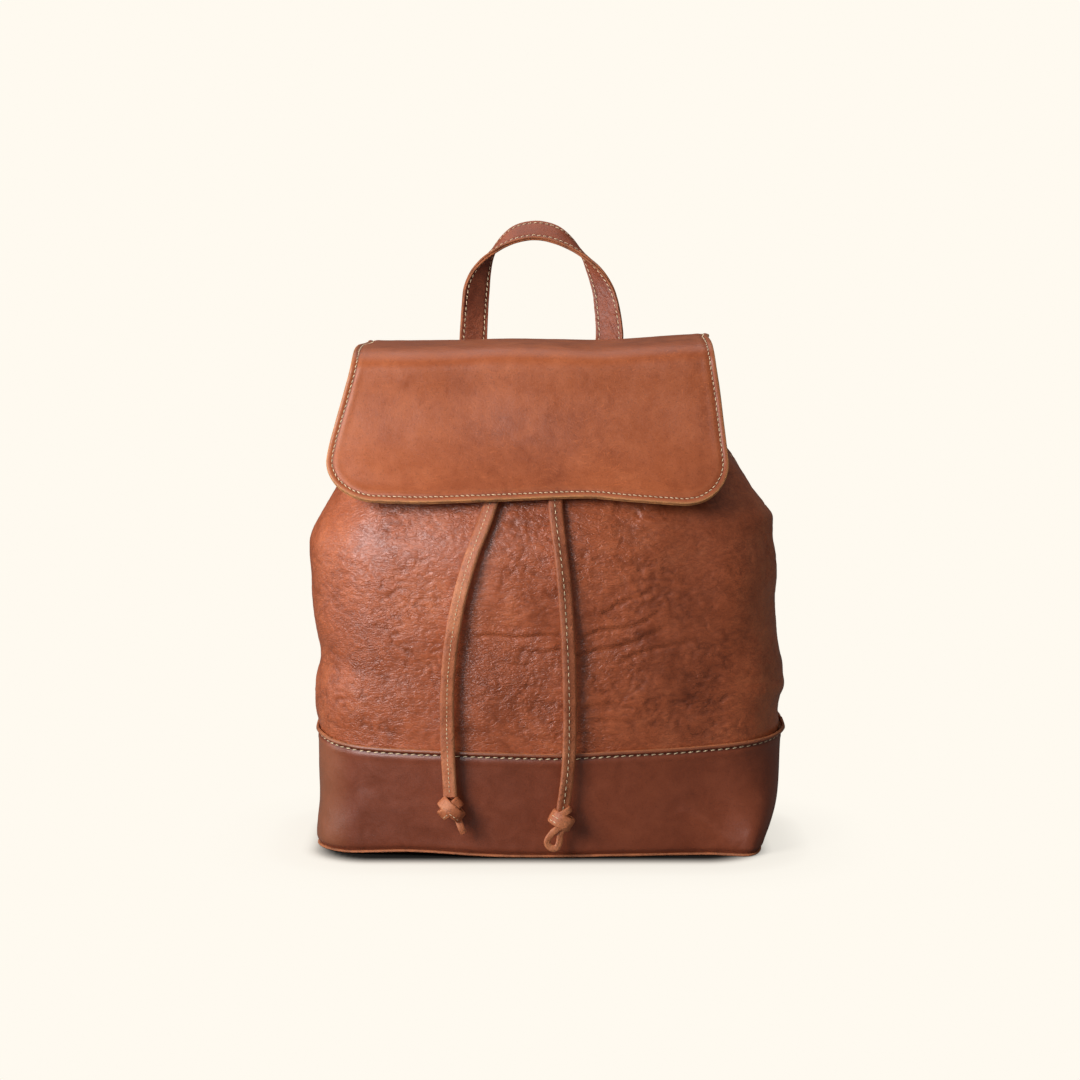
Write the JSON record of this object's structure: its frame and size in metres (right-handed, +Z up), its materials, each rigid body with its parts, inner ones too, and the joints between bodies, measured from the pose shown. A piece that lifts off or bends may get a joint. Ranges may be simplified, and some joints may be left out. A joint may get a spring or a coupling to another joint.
{
  "type": "drawstring backpack",
  "caption": "Leather drawstring backpack with a folding flap, a grab handle, a stitched base band and two buckled shoulder straps.",
  "frame": {"origin": "centre of the sole's underside, in the middle of the bag's width", "axes": "+Z up, front of the bag towards -Y, shoulder straps towards +Y, the wearer's right strap at +X"},
  "size_m": [0.306, 0.2271, 0.4132],
  "materials": {
    "body_hide": "satin",
    "flap_hide": "satin",
    "band_hide": "satin",
    "lace_hide": "satin",
    "strap_hide": "satin",
    "sole_hide": "matte",
    "lining_cloth": "matte",
    "board": "matte",
    "brass": "satin",
    "snap_metal": "satin",
    "zip_cloth": "matte"
  },
  "bodies": {
    "bag": {"sole": "sole_hide", "base_board": "board", "base_band_front": "band_hide", "base_band_back": "band_hide", "body_front": "body_hide", "body_back": "body_hide", "mouth_facing_front": "lining_cloth", "mouth_facing_back": "lining_cloth", "eyelets": "brass", "lining": "lining_cloth", "drawstring_loop": "lace_hide", "lace_left_hidden": "lace_hide", "lace_right_hidden": "lace_hide", "flap_root": "flap_hide", "flap_root_lining": "lining_cloth", "snap_socket": "snap_metal", "handle_ends": "strap_hide", "yoke_patch": "strap_hide", "patch_rivets": "brass", "strap_top_left": "strap_hide", "strap_top_right": "strap_hide", "strap_ring_left": "brass", "strap_ring_right": "brass", "strap_foot_left": "strap_hide", "strap_foot_right": "strap_hide", "ring_tab_left": "strap_hide", "ring_tab_right": "strap_hide", "tab_rivets_left": "brass", "tab_rivets_right": "brass", "pocket_panel": "lining_cloth", "zip_tape": "zip_cloth", "zip_teeth": "brass"},
    "flap_top": {"flap_crown": "flap_hide", "flap_crown_lining": "lining_cloth"},
    "flap_front": {"flap_face": "flap_hide", "flap_face_lining": "lining_cloth", "snap_stud": "snap_metal"},
    "handle": {"handle_outer": "strap_hide", "handle_inner": "strap_hide"},
    "left_lace": {"lace_left": "lace_hide", "lace_knot_left": "lace_hide"},
    "right_lace": {"lace_right": "lace_hide", "lace_knot_right": "lace_hide"},
    "left_strap": {"strap_upper_left": "strap_hide", "strap_lower_left": "strap_hide", "strap_keeper_left": "strap_hide", "buckle_frame_left": "brass"},
    "right_strap": {"strap_upper_right": "strap_hide", "strap_lower_right": "strap_hide", "strap_keeper_right": "strap_hide", "buckle_frame_right": "brass"},
    "left_prong": {"buckle_prong_left": "brass"},
    "right_prong": {"buckle_prong_right": "brass"},
    "zip_slider": {"zip_slider": "brass"},
    "zip_pull": {"zip_pull": "brass"}
  },
  "joints": [
    {"name": "flap_open", "type": "hinge", "parent": "bag", "child": "flap_top", "pos_m": [0, 0.0723, 0.324], "axis": [-1, 0, 0], "range_deg": [0, 100]},
    {"name": "flap_bend", "type": "hinge", "parent": "flap_top", "child": "flap_front", "pos_m": [0, -0.0457, 0.318], "axis": [-1, 0, 0], "range_deg": [0, 60]},
    {"name": "handle_fold", "type": "hinge", "parent": "bag", "child": "handle", "pos_m": [0, 0.0723, 0.2892], "axis": [-1, 0, 0], "range_deg": [0, 65]},
    {"name": "left_lace_lift", "type": "hinge", "parent": "bag", "child": "left_lace", "pos_m": [-0.0289, -0.0675, 0.2336], "axis": [-1, 0, 0], "range_deg": [0, 50]},
    {"name": "right_lace_lift", "type": "hinge", "parent": "bag", "child": "right_lace", "pos_m": [0.0118, -0.0677, 0.2336], "axis": [-1, 0, 0], "range_deg": [0, 50]},
    {"name": "left_strap_swing", "type": "hinge", "parent": "bag", "child": "left_strap", "pos_m": [-0.028, 0.0704, 0.242], "axis": [0.3104, 0, 0.9506], "range_deg": [-20, 20]},
    {"name": "right_strap_swing", "type": "hinge", "parent": "bag", "child": "right_strap", "pos_m": [0.028, 0.0704, 0.242], "axis": [0.3104, 0, -0.9506], "range_deg": [-20, 20]},
    {"name": "left_prong_lift", "type": "hinge", "parent": "left_strap", "child": "left_prong", "pos_m": [-0.06711, 0.1304, 0.12222], "axis": [0.9506, 0, -0.3104], "range_deg": [0, 50]},
    {"name": "right_prong_lift", "type": "hinge", "parent": "right_strap", "child": "right_prong", "pos_m": [0.06711, 0.1304, 0.12222], "axis": [0.9506, 0, 0.3104], "range_deg": [0, 50]},
    {"name": "zip_slide", "type": "slide", "parent": "bag", "child": "zip_slider", "axis": [1, 0, 0], "range_m": [0, 0.136]},
    {"name": "zip_pull_lift", "type": "hinge", "parent": "zip_slider", "child": "zip_pull", "pos_m": [-0.068, 0.056, 0.22], "axis": [-1, 0, 0], "range_deg": [0, 120]}
  ],
  "couplings": [
    {"joint": "flap_bend", "follows": "flap_open", "ratio": 0.6}
  ]
}
